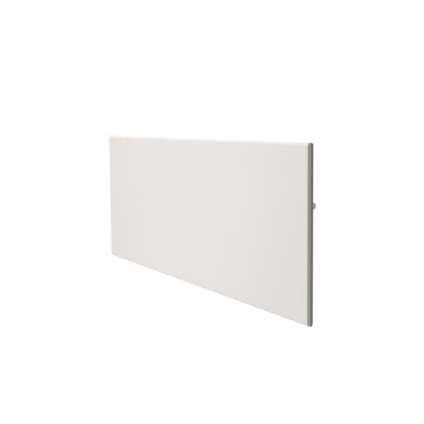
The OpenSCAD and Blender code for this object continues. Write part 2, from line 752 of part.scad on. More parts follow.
module control_housing() color("#C8C5BE") difference() {
    union() {
        difference() {
            union() {
                unit_block(unit_x0, unit_x1, y_deep, 0);
                unit_block(unit_x0, unit_x2, y_nose, 0);
            }
            unit_block(unit_x0, unit_x1, y_deep, wall);
            unit_block(unit_x0, unit_x2, y_nose, wall);
        }
        at_xz(post_places) rod_y(boss_y, y_deep - wall / 2, post_dia);
    }
    at_xz(post_places) {
        rod_y(sink_y, y_deep + eps, head_dia + 0.6);
        rod_y(boss_y - eps, sink_y + eps, hole_dia);
    }
    at(0, knob_y, knob_z) rod_x(unit_x2 - wall - eps, unit_x2 + eps, collar_dia + 2 * slip);
    at(0, knob_y, lens_z) rod_x(unit_x2 - wall - eps, unit_x2 + eps, lens_dia + 2 * slip);
    at(unit_x2 - wall - eps, knob_y, switch_z) translate([0, -(switch_in_w / 2 + frame_wall + slip),
        -(switch_in_l / 2 + frame_wall + slip)]) cube([wall + 2 * eps, switch_in_w + 2 * (frame_wall + slip),
        switch_in_l + 2 * (frame_wall + slip)]);
    at(gland_x, gland_y, 0) rod_z(unit_z - eps, unit_z + wall + eps, gland_dia + 2 * slip);
    at(sensor_x, knob_y, 0) rod_z(unit_z - eps, unit_z + wall + eps, sensor_dia + 2 * slip);
    at(0, bushing_y, bushing_z) rod_x(unit_x0 - eps, unit_x0 + wall + eps, bushing_out + 2 * slip);
    for (x = [unit_x0 + 16:6:unit_x1 - 16]) at(x - 1.25, y_nose, unit_top - 1.5 * wall)
        cube([2.5, y_deep - y_nose - 5, 2 * wall]);
}

module control_base() color("#B4B1AA") difference() {
    union() {
        along_y(y_slab, y_base) translate([unit_x0, unit_z]) rounded_plate(unit_x2 - unit_x0, unit_h, 2);
        at_xz(post_places) rod_y(y_base, boss_y, post_dia - 1);
        at_xz([for (x = [board_x0 + board_in, board_x1 - board_in], z = [board_z0 + board_in, board_z1 - board_in])
            [x, z]]) rod_y(y_base, y_board, 5);
        along_y(y_base, y_base + rim_h) translate([unit_x0 + wall + slip, unit_z + wall + slip]) difference() {
            rounded_plate(unit_x2 - unit_x0 - 2 * (wall + slip), unit_h - 2 * (wall + slip), 1);
            translate([rim_t, rim_t]) square([unit_x2 - unit_x0 - 2 * (wall + slip + rim_t),
                unit_h - 2 * (wall + slip + rim_t)]);
        }
    }
    at_xz(post_places) rod_y(y_base, boss_y + eps, screw_dia);
    at_xz(base_places) rod_y(y_slab - eps, y_base + eps, hole_dia);
}

module base_screws() color("#C9CACB") at_xz(base_places) screw_y(y_base, base_t + cover_sheet + screw_out);
module control_screws() color("#C9CACB") at_xz(post_places) screw_y(sink_y, sink_y - y_base - 2);

module control_board() color("#3F6B4A") along_y(y_board, y_parts) translate([board_x0, board_z0])
    rounded_plate(board_x1 - board_x0, board_z1 - board_z0, 2);

module mains_transformer() color("#C7A45A") at(unit_mid - 16, y_parts, board_z1 - 36) {
    cube([32, 12, 30]);
    at(4, 12, 3) cube([24, 9, 24]);
    at(0, 21, 0) cube([32, 3, 30]);
}

module power_relay() color("#2F4F7A") at(board_x0 + 8, y_parts, board_z0 + 52) cube([16, 16, 20]);

module smoothing_capacitors() color("#33363A") for (i = [0, 1])
    at(board_x1 - 14 - 16 * i, 0, board_z0 + 62) rod_y(y_parts, y_parts + 20, 12.5);

module terminal_block() color("#DAD8D0") difference() {
    at(block_x0, y_parts, block_z - 12) cube([20, 15, 24]);
    for (z = [-6, 0, 6]) at(0, 0, block_z + z) {
        at(block_x0 + 10, 0, 0) rod_y(y_parts + 6, y_parts + 16, 3.6);
        at(0, block_y, 0) rod_x(block_x0 + 12, block_x0 + 21, 3.4);
    }
}

module wireless_module() color("#B7BABC") at(board_x1 - 24, y_parts, board_z0 + 12) {
    cube([20, 1, 28]);
    at(2, 1, 2) cube([16, 2.4, 18]);
}

sensor_dia = 5;
sensor_x = unit_x1 + nose_l / 2;
module room_sensor() color("#E4E2DC") at(sensor_x, knob_y, 0) {
    rod_z(unit_z - 9, unit_z + wall + 4, sensor_dia);
    at(0, 0, unit_z - 9) sphere(d = sensor_dia);
    rod_z(unit_z - 1.2, unit_z, sensor_dia + 3);
}

// Knob and encoder
module encoder_body() color("#4A4C4F") difference() {
    union() {
        at(encoder_x0, knob_y - encoder_w / 2, knob_z - encoder_w / 2) cube([encoder_d, encoder_w, encoder_w]);
        at(0, knob_y, knob_z) rod_x(encoder_x1 - eps, collar_x, collar_dia);
    }
    at(0, knob_y, knob_z) {
        rod_x(plunger_x1 - press_travel - eps, collar_x + eps, shaft_dia + 2 * run_gap);
        rod_x(plunger_x1 - plunger_l - press_travel - 0.3, collar_x, plunger_dia + 2 * run_gap);
    }
}

module encoder_nut() color("#C9CACB") at(0, knob_y, knob_z) difference() {
    hex_x(unit_x2, unit_x2 + nut_h, 9);
    rod_x(unit_x2 - eps, unit_x2 + nut_h + eps, collar_dia + 2 * run_gap);
}

module push_plunger() color("#D8D5CC") at(0, knob_y, knob_z) rod_x(plunger_x1 - plunger_l, plunger_x1, plunger_dia);
module knob_shaft() color("#C9CACB") at(0, knob_y, knob_z) rod_x(plunger_x1, shaft_x1, shaft_dia);

module control_knob() color("#DAD7CF") at(0, knob_y, knob_z) difference() {
    translate([knob_x0, 0, 0]) rotate([0, 90, 0]) rotate_extrude() polygon([[0, 0], [knob_dia / 2, 0],
        [knob_dia / 2, knob_l - 1], [knob_dia / 2 - 1, knob_l], [0, knob_l]]);
    for (i = [0:flutes - 1]) rotate([360 * i / flutes, 0, 0]) at(0, 0, knob_dia / 2 + 0.5)
        rod_x(knob_x0 + 2, knob_x1 + eps, 1.8);
    rod_x(knob_x0 - eps, knob_x0 + recess_l, recess_dia);
    rod_x(knob_x0, shaft_x1, shaft_dia);
    at(knob_x1 - 0.4, -0.5, knob_dia / 6) cube([eps * 2, 1, knob_dia / 3 - 1.6]);
}

// Rocker switch
module switch_frame() color("#2B2C2E") at(0, knob_y, switch_z) difference() {
    union() {
        at(unit_x2, -(switch_in_w / 2 + 1.9), -(switch_in_l / 2 + 2)) cube([frame_t, switch_in_w + 3.8,
            switch_in_l + 4]);
        at(unit_x2 - switch_d, -(switch_in_w / 2 + frame_wall), -(switch_in_l / 2 + frame_wall))
            cube([switch_d + eps, switch_in_w + 2 * frame_wall, switch_in_l + 2 * frame_wall]);
    }
    at(unit_x2 - switch_d + frame_wall, -switch_in_w / 2, -switch_in_l / 2)
        cube([switch_d + 2 * frame_t, switch_in_w, switch_in_l]);
    at(pivot_x, 0, 0) rod_y(-switch_in_w / 2 - frame_wall - eps, switch_in_w / 2 + frame_wall + eps,
        pivot_dia + 2 * run_gap);
}

module rocker() color("#1E1F21") at(pivot_x, knob_y, switch_z) rotate([0, rocker_tilt, 0]) {
    along_y(-rocker_w / 2, rocker_w / 2) polygon([[-4, -rocker_l / 2], [5, -rocker_l / 2], [3.6, 0],
        [5, rocker_l / 2], [-4, rocker_l / 2], [-5.5, 0]]);
    rod_y(-rocker_w / 2 - 0.8, rocker_w / 2 + 0.8, pivot_dia);
}

module indicator_lens() color("#9FD8A8") at(0, knob_y, lens_z) {
    rod_x(unit_x2 - wall - 2, unit_x2, lens_dia);
    translate([unit_x2, 0, 0]) rotate([0, 90, 0]) rotate_extrude() intersection() {
        translate([0, -7.4]) circle(8.6);
        square([lens_dia / 2 + 1, 2]);
    }
}

// Cord gland
module cable_gland() color("#D6D4CE") at(gland_x, gland_y, 0) difference() {
    union() {
        rod_z(unit_z - 14, unit_z + wall + 5.5, gland_dia);
        hex_z(unit_z - 5, unit_z, gland_af);
    }
    rod_z(unit_z - 15, unit_z + wall + 6, gland_bore + 4);
}

module gland_locknut() color("#D6D4CE") at(gland_x, gland_y, 0) difference() {
    hex_z(unit_z + wall, unit_z + wall + 4, gland_af);
    rod_z(unit_z + wall - eps, unit_z + wall + 4 + eps, gland_dia + 2 * run_gap);
}

module gland_seal() color("#2B2A29") at(gland_x, gland_y, 0) difference() {
    rod_z(unit_z - 14, unit_z + wall + 2, gland_bore + 4 - 2 * run_gap);
    rod_z(unit_z - 15, unit_z + wall + 3, gland_bore);
}

module gland_nut() color("#D6D4CE") at(gland_x, gland_y, 0) difference() {
    union() {
        hex_z(unit_z - 13, unit_z - 5.2, gland_af);
        translate([0, 0, unit_z - 18]) rotate_extrude() polygon([[0, 0], [gland_af / 2 - 3, 0],
            [gland_af / 2 - 0.4, 3], [gland_af / 2 - 0.2, 6], [0, 6]]);
    }
    rod_z(unit_z - 14.2, unit_z - 5, gland_dia + 2 * run_gap);
    rod_z(unit_z - 19, unit_z - 13, gland_bore + 1);
}

// Wall bracket
// Upright drawn for the right side
module upright() difference() {
    union() {
        along_z(-upright_h / 2, upright_h / 2) translate([upright_span / 2, 0]) channel_outline();
        along_x(hook_x - bracket_sheet / 2, hook_x + bracket_sheet / 2) for (z = [-hook_z, hook_z])
            translate([0, z]) hook_outline();
    }
    for (s = [-1, 1]) {
        along_y(-bracket_sheet - eps, eps) translate([upright_span / 2, s * screw_z]) slot_outline(slot_w, slot_l);
        along_y(-bracket_sheet - eps, eps) translate([upright_span / 2, s * screw_z / 3])
            rotate(90) slot_outline(16, 34);
        at(upright_span / 2 - upright_w / 2 - eps, -2 * bracket_sheet - slip, s * cross_z - cross_h / 2 - slip)
            cube([bend_r + 2 * eps, bracket_sheet + slip, cross_h + 2 * slip]);
    }
    at_xz(rivet_places(1)) rod_y(-bracket_sheet - eps, eps, rivet_dia + 2 * run_gap);
}

function rivet_places(side) = [for (x = [-0.5, 0.5], z = [-cross_z, cross_z])
    [side * (upright_span / 2 + x * rivet_pitch), z]];

module channel_outline() difference() {
    translate([-upright_w / 2, 0]) mirror([0, 1]) front_corners(upright_w, upright_d, bend_r);
    translate([-upright_w / 2 + bracket_sheet, -bracket_sheet]) mirror([0, 1])
        front_corners(upright_w - 2 * bracket_sheet, upright_d + eps, bend_r - bracket_sheet);
}

// Outline w wide and d deep from the origin, its two near corners rounded
module front_corners(w, d, r) {
    translate([0, r]) square([w, d - r]);
    translate([r, 0]) square([w - 2 * r, d]);
    for (x = [r, w - r]) translate([x, r]) circle(r);
}

module hook_outline() polygon([[-upright_d + 2, -arm_h], [nose_y + 3, -arm_h], [nose_y, -arm_h + 3],
    [nose_y, lift - 3], [nose_y + 2, lift], [notch_y1 - 1, lift], [notch_y1, lift - 1], [notch_y1, 0],
    [notch_y0, 0], [notch_y0, lift / 2], [-upright_d, lift], [-upright_d + 2, lift]]);

module bracket_upright_right() color("#AEB2B4") upright();
module bracket_upright_left() color("#AEB2B4") mirror([1, 0, 0]) upright();

module cross_rail(z) along_y(-2 * bracket_sheet, -bracket_sheet) difference() {
    translate([-upright_span / 2 - upright_w / 2 + 5, z - cross_h / 2])
        rounded_plate(upright_span + upright_w - 10, cross_h, 3);
    for (s = [-1, 1], p = rivet_places(s)) translate([p[0], z]) circle(d = rivet_dia + 2 * run_gap);
    for (x = [-1, 0, 1] * upright_span / 4) translate([x, z]) slot_outline(8, 60);
}

module bracket_rail_upper() color("#AEB2B4") cross_rail(cross_z);
module bracket_rail_lower() color("#AEB2B4") cross_rail(-cross_z);

module bracket_rivets() color("#C9CACB") at_xz(concat(rivet_places(1), rivet_places(-1))) {
    rod_y(-2 * bracket_sheet, 0, rivet_dia);
    rod_y(-2 * bracket_sheet - 1.2, -2 * bracket_sheet, rivet_dia + 3);
}

front_panel();
rear_cover();
end_cap_left();
end_cap_right();
stiffener_rails();
cover_screws();
casing_back();
outlet_louvre();
inlet_louvre();
casing_end_left();
casing_end_right();
casing_screws();
hook_plates();
heat_shield();
element_rod();
element_fins();
element_support_left();
element_support_right();
ceramic_bushes();
thermal_cutout();
cutout_bracket();
lead_live();
lead_link();
lead_neutral();
lead_earth();
earth_screw();
wire_bushing();
control_base();
base_screws();
control_housing();
control_screws();
control_board();
mains_transformer();
power_relay();
smoothing_capacitors();
terminal_block();
wireless_module();
encoder_body();
encoder_nut();
push_plunger();
knob_shaft();
control_knob();
switch_frame();
rocker();
indicator_lens();
cable_gland();
gland_locknut();
gland_seal();
gland_nut();
room_sensor();
bracket_upright_left();
bracket_upright_right();
bracket_rail_upper();
bracket_rail_lower();
bracket_rivets();
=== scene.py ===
"""Electric panel heater on its wall bracket.

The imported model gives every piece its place. This script gives the pieces their finish, their
softened edges and their fine detail, and sets the stage, the light and the camera.

Lengths are in metres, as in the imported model, except where a comment says millimetres.
"""

import json
import math

import bmesh
import bpy
from mathutils import Matrix, Vector
from mathutils.bvhtree import BVHTree


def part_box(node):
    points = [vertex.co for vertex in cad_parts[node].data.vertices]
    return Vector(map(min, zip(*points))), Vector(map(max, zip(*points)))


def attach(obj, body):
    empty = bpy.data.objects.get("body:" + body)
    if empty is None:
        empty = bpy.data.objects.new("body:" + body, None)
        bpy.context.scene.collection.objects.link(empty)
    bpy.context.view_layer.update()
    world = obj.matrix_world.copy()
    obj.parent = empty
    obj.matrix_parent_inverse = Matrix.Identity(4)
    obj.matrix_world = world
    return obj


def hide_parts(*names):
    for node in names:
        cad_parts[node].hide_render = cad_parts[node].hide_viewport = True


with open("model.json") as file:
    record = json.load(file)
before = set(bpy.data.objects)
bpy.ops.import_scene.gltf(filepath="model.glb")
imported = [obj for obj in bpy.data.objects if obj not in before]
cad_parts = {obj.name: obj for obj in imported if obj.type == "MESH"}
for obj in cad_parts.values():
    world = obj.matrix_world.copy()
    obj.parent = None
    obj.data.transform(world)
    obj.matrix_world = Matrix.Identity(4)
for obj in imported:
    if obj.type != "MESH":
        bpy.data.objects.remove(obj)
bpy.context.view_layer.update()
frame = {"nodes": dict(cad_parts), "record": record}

MM = 0.001
BODY_OF = {n: body for body, names in frame["record"]["behaviour"]["bodies"].items() for n in names}
SLOT_OF = {s["node"]: s["material_slot"] for s in frame["record"]["subparts"]}

# Mesh work
WELD = 2e-6  # vertices nearer than this become one
FLAT = 0.4  # degrees: faces that turn by less are joined
ROUNDED_FROM = 35  # degrees: edges that turn by more are rounded
SHARP_FROM = 32  # degrees: shading stays sharp where faces turn by more
UP_TO_Y = Matrix.Rotation(math.radians(-90), 4, "X")
UP_TO_MINUS_Y = Matrix.Rotation(math.radians(90), 4, "X")
UP_TO_X = Matrix.Rotation(math.radians(90), 4, "Y")
UP_STAYS = Matrix.Identity(4)

# Camera, where the photograph was taken from, with its angles in radians
CAMERA_AT = Vector((2.0405, -1.0612, 0.2353))
CAMERA_YAW = -1.0973
CAMERA_PITCH = 0.1044
CAMERA_ROLL = -0.0081
CAMERA_LENS = 76.23  # millimetres
CAMERA_FILM = 36  # millimetres
CAMERA_RANGE = (0.01, 60)

# Stage: the heater hangs well above the floor, with no wall behind it
FLOOR_Z = -0.80
FLOOR_REACH = 14.0
FLOOR_RGB = (236, 236, 236)
WORLD_LIGHT = 0.40

# Lamps: where each hangs, where it points, its side in metres and its power in watts
SOFTBOXES = {
    "front": ((0.03, -1.3, -0.1), (0.03, 0, 0), 0.7, 3.0),
    "key": ((0.0, -2.2, 2.3), (0, 0, 0), 1.4, 30),
    "overhead": ((-0.5, -0.6, 2.6), (-0.1, 0, 0), 1.6, 28),
    "rear_fill": ((-1.8, 3.2, 2.2), (0, 0, 0), 2.4, 90),
}

# Nodes that get a stand-in with rounded edges, and how far the edges are rounded
EDGE_WIDTHS = {
    "front_panel": 0.0002,
    "rear_cover": 0.00025,
    "end_cap_left": 0.0004,
    "end_cap_right": 0.0004,
    "casing_back": 0.0002,
    "outlet_louvre": 0.00018,
    "inlet_louvre": 0.00018,
    "casing_end_left": 0.00025,
    "casing_end_right": 0.00025,
    "control_housing": 0.0005,
    "control_base": 0.0004,
    "hook_plates": 0.0003,
    "bracket_upright_left": 0.0003,
    "bracket_upright_right": 0.0003,
    "bracket_rail_upper": 0.0003,
    "bracket_rail_lower": 0.0003,
    "element_support_left": 0.0002,
    "element_support_right": 0.0002,
    "switch_frame": 0.0003,
    "rocker": 0.0003,
    "cable_gland": 0.0003,
    "gland_locknut": 0.0003,
    "gland_nut": 0.0003,
    "encoder_nut": 0.0002,
    "wire_bushing": 0.0003,
    "stiffener_rails": 0.0002,
    "heat_shield": 0.00015,
    "element_fins": 0.0002,
    "cutout_bracket": 0.0002,
    "thermal_cutout": 0.0002,
    "control_board": 0.00015,
    "power_relay": 0.0004,
    "terminal_block": 0.0003,
    "encoder_body": 0.0002,
    "earth_screw": 0.0003,
    "push_plunger": 0.0003,
    "knob_shaft": 0.0003,
}
LEADS = ("lead_live", "lead_link", "lead_neutral", "lead_earth")
ROUND_ALL_OVER = ("room_sensor", "indicator_lens", "gland_seal", "ceramic_bushes", "element_rod")
SCREW_GROUPS = ("cover_screws", "casing_screws", "base_screws", "control_screws")


# Finishes


def linear(rgb):
    """Blender's linear values for a colour written as it looks in plain light, 0 to 255."""

    def channel(v):
        v /= 255
        return v / 12.92 if v <= 0.04045 else ((v + 0.055) / 1.055) ** 2.4

    return tuple(channel(v) for v in rgb)


class Finish:
    """One procedural material: a Principled shader fed by textures in the part's own metres."""

    def __init__(self, name, rgb, rough, metallic=0.0, **sockets):
        self.material = bpy.data.materials.new(name)
        self.material.use_nodes = True
        self.tree = self.material.node_tree
        self.shader = self.tree.nodes["Principled BSDF"]
        self.rgb = (*linear(rgb), 1.0)
        self.shader.inputs["Base Color"].default_value = self.rgb
        self.shader.inputs["Roughness"].default_value = rough
        self.shader.inputs["Metallic"].default_value = metallic
        for socket, value in sockets.items():
            self.shader.inputs[socket.replace("_", " ")].default_value = value
        self.position = self.node("ShaderNodeTexCoord").outputs["Object"]
        self.relief = None

    def node(self, kind, **settings):
        """A new shader node, its settings given to its sockets or else to the node itself."""
        made = self.tree.nodes.new(kind)
        for key, value in settings.items():
            if key in made.inputs:
                made.inputs[key].default_value = value
            else:
                setattr(made, key, value)
        return made

    def link(self, a, b):
        self.tree.links.new(a, b)

    def texture(self, kind, scale, **settings):
        """A texture node that reads the position times scale, one factor for each axis."""
        mapping = self.node("ShaderNodeMapping")
        mapping.inputs["Scale"].default_value = scale
        self.link(self.position, mapping.inputs["Vector"])
        made = self.node(kind, Scale=1.0, **settings)
        self.link(mapping.outputs["Vector"], made.inputs["Vector"])
        return made

    def noise(self, size, detail=2.0, stretch=(1, 1, 1)):
        """Noise whose features measure about size metres, stretched along the axes by stretch."""
        scale = [1 / (size * s) for s in stretch]
        return self.texture("ShaderNodeTexNoise", scale, Detail=detail).outputs["Fac"]

    def spread(self, value, low, high, start=0.3, end=0.7):
        """value, from start to end, mapped to low to high."""
        node = self.node("ShaderNodeMapRange")
        limits = {"From Min": start, "From Max": end, "To Min": low, "To Max": high}
        for key, number in limits.items():
            node.inputs[key].default_value = number
        self.link(value, node.inputs["Value"])
        return node.outputs["Result"]

    def tint(self, value, low, high):
        """The base colour times low to high as value runs, on top of what the colour already is."""
        mix = self.node("ShaderNodeMix", data_type="RGBA", blend_type="MULTIPLY")
        mix.inputs["Factor"].default_value = 1.0
        socket = self.shader.inputs["Base Color"]
        if socket.is_linked:
            self.link(socket.links[0].from_socket, mix.inputs["A"])
        else:
            mix.inputs["A"].default_value = self.rgb
        self.link(self.spread(value, low, high), mix.inputs["B"])
        self.link(mix.outputs["Result"], socket)

    def roughen(self, value, low, high):
        """Roughness from low to high as value runs."""
        self.link(self.spread(value, low, high), self.shader.inputs["Roughness"])

    def bump(self, value, height, strength):
        """Relief of the given height in metres, added over earlier relief."""
        node = self.node("ShaderNodeBump", Strength=strength, Distance=height)
        self.link(value, node.inputs["Height"])
        if self.relief:
            self.link(self.relief, node.inputs["Normal"])
        self.relief = node.outputs["Normal"]
        self.link(self.relief, self.shader.inputs["Normal"])


def powder_coat(name, rgb, rough=0.42):
    """Baked powder paint: a faint orange peel, and a slow drift of tone over the sheet."""
    finish = Finish(name, rgb, rough, Specular_IOR_Level=0.45)
    finish.tint(finish.noise(size=0.22, detail=1.0), low=0.985, high=1.0)
    finish.roughen(finish.noise(size=0.004), low=rough - 0.05, high=rough + 0.05)
    finish.bump(finish.noise(size=0.0016, detail=3.0), height=0.000012, strength=0.5)
    return finish.material


def moulded(name, rgb, rough=0.5, grain=0.0005):
    """Moulded plastic with a fine spark-eroded grain."""
    finish = Finish(name, rgb, rough, Specular_IOR_Level=0.42)
    finish.tint(finish.noise(size=0.03, detail=1.0), low=0.97, high=1.0)
    finish.roughen(finish.noise(size=0.003), low=rough - 0.06, high=rough + 0.06)
    finish.bump(finish.noise(size=grain), height=0.00002, strength=0.6)
    return finish.material


def galvanised(name, rgb):
    """Zinc-coated sheet: crystals of differing tone, with rolling marks along X."""
    rough, crystals_per_metre = 0.42, 270
    finish = Finish(name, rgb, rough, metallic=0.9)
    crystals = finish.texture("ShaderNodeTexVoronoi", [crystals_per_metre] * 3)
    grey = finish.node("ShaderNodeRGBToBW")
    finish.link(crystals.outputs["Color"], grey.inputs["Color"])
    finish.tint(grey.outputs["Val"], low=0.93, high=1.03)
    finish.roughen(grey.outputs["Val"], low=rough - 0.06, high=rough + 0.08)
    finish.bump(finish.noise(size=0.0006, stretch=(18, 1, 1)), height=0.000015, strength=0.5)
    return finish.material


def machined(name, rgb, rough=0.3):
    """Bare metal with fine drawing marks along X."""
    drawn = (14, 1, 1)
    finish = Finish(name, rgb, rough, metallic=1.0)
    finish.tint(finish.noise(size=0.0012, stretch=drawn), low=0.93, high=1.03)
    finish.roughen(finish.noise(size=0.002, stretch=drawn), low=rough - 0.08, high=rough + 0.12)
    finish.bump(finish.noise(size=0.0005, stretch=drawn), height=0.00001, strength=0.4)
    return finish.material


def sheath(name, rgb):
    """Heated stainless sheath: lighter and darker bands from the heat."""
    finish = Finish(name, rgb, 0.38, metallic=0.85)
    finish.tint(finish.noise(size=0.03, detail=3.0), low=0.72, high=1.1)
    finish.bump(finish.noise(size=0.0008), height=0.00002, strength=0.5)
    return finish.material


def board(name, rgb):
    """Solder mask over copper tracks that run in angular loops."""
    loops_per_metre, tracks_in_a_loop = 60.0, 9.0
    finish = Finish(name, rgb, 0.28, Coat_Weight=0.4)
    loops = finish.node("ShaderNodeTexVoronoi", distance="MANHATTAN", Scale=loops_per_metre)
    finish.link(finish.position, loops.inputs["Vector"])
    count = finish.node("ShaderNodeMath", operation="MULTIPLY")
    count.inputs[1].default_value = tracks_in_a_loop
    finish.link(loops.outputs["Distance"], count.inputs[0])
    across = finish.node("ShaderNodeMath", operation="FRACT")
    finish.link(count.outputs[0], across.inputs[0])
    track = finish.spread(across.outputs[0], low=0.2, high=0.8, start=0.5, end=0.6)
    finish.tint(track, low=0.82, high=1.12)
    finish.bump(track, height=0.00004, strength=0.5)
    return finish.material


def striped(name, rgb, second, width):
    """Moulded sheath of a lead with stripes of a second colour, width metres apart across Y."""
    bands_apart_at_scale_1 = 0.314
    finish = Finish(name, rgb, 0.5, Specular_IOR_Level=0.42)
    wave = finish.node("ShaderNodeTexWave", wave_profile="SIN", bands_direction="Y",
                       Scale=bands_apart_at_scale_1 / width)
    finish.link(finish.position, wave.inputs["Vector"])
    mix = finish.node("ShaderNodeMix", data_type="RGBA")
    stripe = finish.spread(wave.outputs["Fac"], low=0, high=1, start=0.45, end=0.55)
    finish.link(stripe, mix.inputs["Factor"])
    mix.inputs["A"].default_value = finish.rgb
    mix.inputs["B"].default_value = (*linear(second), 1.0)
    finish.link(mix.outputs["Result"], finish.shader.inputs["Base Color"])
    finish.tint(finish.noise(size=0.03, detail=1.0), low=0.97, high=1.0)
    finish.bump(finish.noise(size=0.0005), height=0.00002, strength=0.6)
    return finish.material


def lens(name, rgb):
    """Clear tinted plastic with a slight cloudiness."""
    finish = Finish(name, rgb, 0.18, Transmission_Weight=0.35, IOR=1.49)
    finish.tint(finish.noise(size=0.002), low=0.94, high=1.0)
    return finish.material


# Each finish by name: its maker, its colour, and then its maker's own settings
FINISHES = {
    name: make(name, *values)
    for name, make, *values in (
        ("white_steel", powder_coat, (232, 228, 225)),
        ("pale_plastic", moulded, (200, 197, 190)),
        # Painted light: knob_plastic is the end caps' pale plastic made lighter, to brighten the
        # knob where it sits in the slab's shade
        ("knob_plastic", moulded, (222, 218, 212)),
        ("base_plastic", moulded, (186, 184, 178)),
        ("dark_steel", powder_coat, (140, 138, 132), 0.46),
        ("casing_steel", powder_coat, (156, 154, 149), 0.46),
        ("louvre_steel", powder_coat, (148, 146, 141), 0.46),
        ("zinc_steel", galvanised, (190, 193, 195)),
        ("bracket_steel", galvanised, (178, 182, 184)),
        ("screw_steel", machined, (204, 204, 206), 0.28),
        ("aluminium", machined, (202, 205, 207), 0.34),
        ("sheath_steel", sheath, (118, 110, 103)),
        ("ceramic", moulded, (238, 234, 224), 0.62, 0.0009),
        ("black_plastic", moulded, (46, 46, 48), 0.45),
        ("rubber", moulded, (38, 38, 38), 0.7, 0.0008),
        ("brass", machined, (206, 168, 92), 0.26),
        ("brown_lead", moulded, (112, 70, 44)),
        ("blue_lead", moulded, (58, 96, 150)),
        ("green_lead", striped, (86, 138, 58), (214, 198, 70), 0.0024),
        ("circuit_board", board, (52, 104, 70)),
        ("relay_blue", moulded, (52, 84, 128), 0.35),
        ("transformer_core", moulded, (198, 164, 92), 0.4, 0.0012),
        ("shield_tin", machined, (188, 191, 193)),
        ("lamp_lens", lens, (170, 222, 178)),
        ("mark_white", moulded, (226, 226, 222)),
    )
}


# Pieces


def to_mesh(work, name):
    """The mesh of a bmesh, which is freed."""
    mesh = bpy.data.meshes.new(name)
    work.to_mesh(mesh)
    work.free()
    return mesh


def piece(name, mesh, body, slot, finish=None, node=None, sharp_from=SHARP_FROM):
    """A new object around mesh, which rides on body and hides the node that it stands for.

    It takes its finish from slot, or looks like another finish where one is named.
    """
    mesh.polygons.foreach_set("use_smooth", [True] * len(mesh.polygons))
    mesh.set_sharp_from_angle(angle=math.radians(sharp_from))
    mesh.materials.clear()
    mesh.materials.append(FINISHES[finish or slot])
    made = bpy.data.objects.new(name, mesh)
    bpy.context.scene.collection.objects.link(made)
    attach(made, body)
    if node:
        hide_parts(node)
    return made


def stand_in(node, work, finish=None, sharp_from=SHARP_FROM):
    """The piece that stands for a CAD node, from a finished bmesh."""
    name = node + "_finished"
    mesh = to_mesh(work, name)
    return piece(name, mesh, BODY_OF[node], SLOT_OF[node], finish, node, sharp_from)


def welded(node):
    """The node's own mesh as a workable copy, with its doubled vertices made one."""
    work = bmesh.new()
    work.from_mesh(frame["nodes"][node].data)
    bmesh.ops.remove_doubles(work, verts=work.verts, dist=WELD)
    return work


def flattened(node):
    """The same with its flat faces joined."""
    work = welded(node)
    bmesh.ops.dissolve_limit(work, angle_limit=math.radians(FLAT), verts=work.verts,
                             edges=work.edges)
    return work


def islands(node):
    """(lowest corner, highest corner) of each separate solid in a node, from left to right."""
    work = welded(node)
    left = set(work.verts)
    found = []
    while left:
        stack, group = [left.pop()], []
        while stack:
            vert = stack.pop()
            group.append(vert.co.copy())
            for edge in vert.link_edges:
                other = edge.other_vert(vert)
                if other in left:
                    left.remove(other)
                    stack.append(other)
        found.append((Vector(map(min, zip(*group))), Vector(map(max, zip(*group)))))
    work.free()
    return sorted(found, key=lambda b: (round(b[0].x, 4), round(b[0].z, 4)))


def place(single, matrix, work):
    """Adds a bmesh to work, moved by matrix, and frees it."""
    bmesh.ops.transform(single, matrix=matrix, verts=single.verts)
    mesh = to_mesh(single, "placed")
    work.from_mesh(mesh)
    bpy.data.meshes.remove(mesh)


def cut(target, tool):
    """target minus tool, both bmesh and neither crossing itself. Returns a mesh."""
    a = bpy.data.objects.new("cut_target", to_mesh(target, "cut_target"))
    b = bpy.data.objects.new("cut_tool", to_mesh(tool, "cut_tool"))
    for o in (a, b):
        bpy.context.scene.collection.objects.link(o)
    modifier = a.modifiers.new("cut", "BOOLEAN")
    modifier.operation, modifier.solver, modifier.object = "DIFFERENCE", "EXACT", b
    bpy.context.view_layer.update()
    mesh = bpy.data.meshes.new_from_object(a.evaluated_get(bpy.context.evaluated_depsgraph_get()))
    for o in (a, b):
        bpy.data.objects.remove(o)
    if not mesh.polygons:
        raise RuntimeError("a cut left nothing")
    return mesh


# Forms


def join_rings(work, low, high):
    """Faces between two rings of equally many vertices."""
    for k in range(len(low)):
        j = (k + 1) % len(low)
        work.faces.new((low[k], low[j], high[j], high[k]))


def revolve(work, profile, turns, factor=None):
    """Adds a surface of revolution about +Z.

    profile is (radius, height) from one end of the axis to the other, and factor(angle, row)
    gives a factor on the radius.
    """
    rings = []
    for row, (radius, height) in enumerate(profile):
        if radius < 1e-9:  # a point on the axis
            rings.append([work.verts.new((0, 0, height))])
            continue
        ring = []
        for k in range(turns):
            angle = 2 * math.pi * k / turns
            r = radius * (factor(angle, row) if factor else 1)
            ring.append(work.verts.new((r * math.cos(angle), r * math.sin(angle), height)))
        rings.append(ring)
    for low, high in zip(rings, rings[1:]):
        if len(low) == len(high):
            join_rings(work, low, high)
            continue
        for k in range(turns):
            j = (k + 1) % turns
            if len(low) == 1:
                work.faces.new((low[0], high[j], high[k]))
            else:
                work.faces.new((low[k], low[j], high[0]))


def arc(centre, radius, start, end, steps):
    """Points on an arc in a profile, from start to end degrees."""
    angles = [math.radians(start + (end - start) * k / steps) for k in range(steps + 1)]
    return [(centre[0] + radius * math.cos(a), centre[1] + radius * math.sin(a)) for a in angles]


def lathe(work, at, profile, turns=24, aim=UP_TO_Y):
    """Adds a surface of revolution whose axis starts at a point, all in millimetres."""
    single = bmesh.new()
    revolve(single, [(r * MM, h * MM) for r, h in profile], turns)
    place(single, Matrix.Translation(Vector(at) * MM) @ aim, work)


